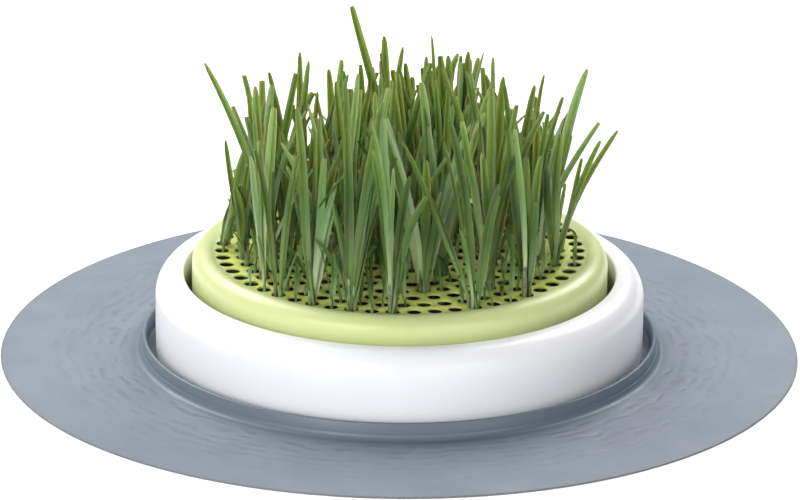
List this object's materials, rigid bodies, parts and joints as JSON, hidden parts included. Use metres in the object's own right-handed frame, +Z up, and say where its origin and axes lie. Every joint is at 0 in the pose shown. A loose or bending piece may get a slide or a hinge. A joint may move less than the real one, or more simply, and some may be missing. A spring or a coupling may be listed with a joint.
{
  "type": "wheatgrass tray",
  "caption": "Round white growing tray standing in the well of a wide grey mat, filled with growing medium and covered by a green perforated grille that grass grows up through.",
  "frame": {"origin": "centre of the mat's flat underside, on the surface that the part stands on", "axes": "+Z up along the axis of the round mat and tray; the pictured side faces -Y and +X is to its right"},
  "size_m": [0.4, 0.4, 0.1705],
  "materials": {
    "mat": "satin, fine raised dashes",
    "tray": "semi-gloss",
    "grille": "semi-gloss",
    "growing_medium": "moist and crumbly",
    "grass": "fresh green blades"
  },
  "bodies": {
    "root": {"mat": "mat", "tray": "tray", "grille": "grille", "growing_medium": "growing_medium", "tuft_01": "grass", "tuft_02": "grass", "tuft_03": "grass", "tuft_04": "grass", "tuft_05": "grass", "tuft_06": "grass", "tuft_07": "grass", "tuft_08": "grass", "tuft_09": "grass", "tuft_10": "grass", "tuft_11": "grass", "tuft_12": "grass", "tuft_13": "grass", "tuft_14": "grass", "tuft_15": "grass", "tuft_16": "grass", "tuft_17": "grass", "tuft_18": "grass", "tuft_19": "grass", "tuft_20": "grass", "tuft_21": "grass", "tuft_22": "grass", "tuft_23": "grass", "tuft_24": "grass", "tuft_25": "grass", "tuft_26": "grass", "tuft_27": "grass", "tuft_28": "grass", "tuft_29": "grass", "tuft_30": "grass", "tuft_31": "grass", "tuft_32": "grass", "tuft_33": "grass", "tuft_34": "grass", "tuft_35": "grass", "tuft_36": "grass", "tuft_37": "grass", "tuft_38": "grass", "tuft_39": "grass", "tuft_40": "grass", "tuft_41": "grass", "tuft_42": "grass", "tuft_43": "grass", "tuft_44": "grass", "tuft_45": "grass", "tuft_46": "grass", "tuft_47": "grass", "tuft_48": "grass", "tuft_49": "grass", "tuft_50": "grass", "tuft_51": "grass", "tuft_52": "grass", "tuft_53": "grass", "tuft_54": "grass"}
  },
  "joints": []
}
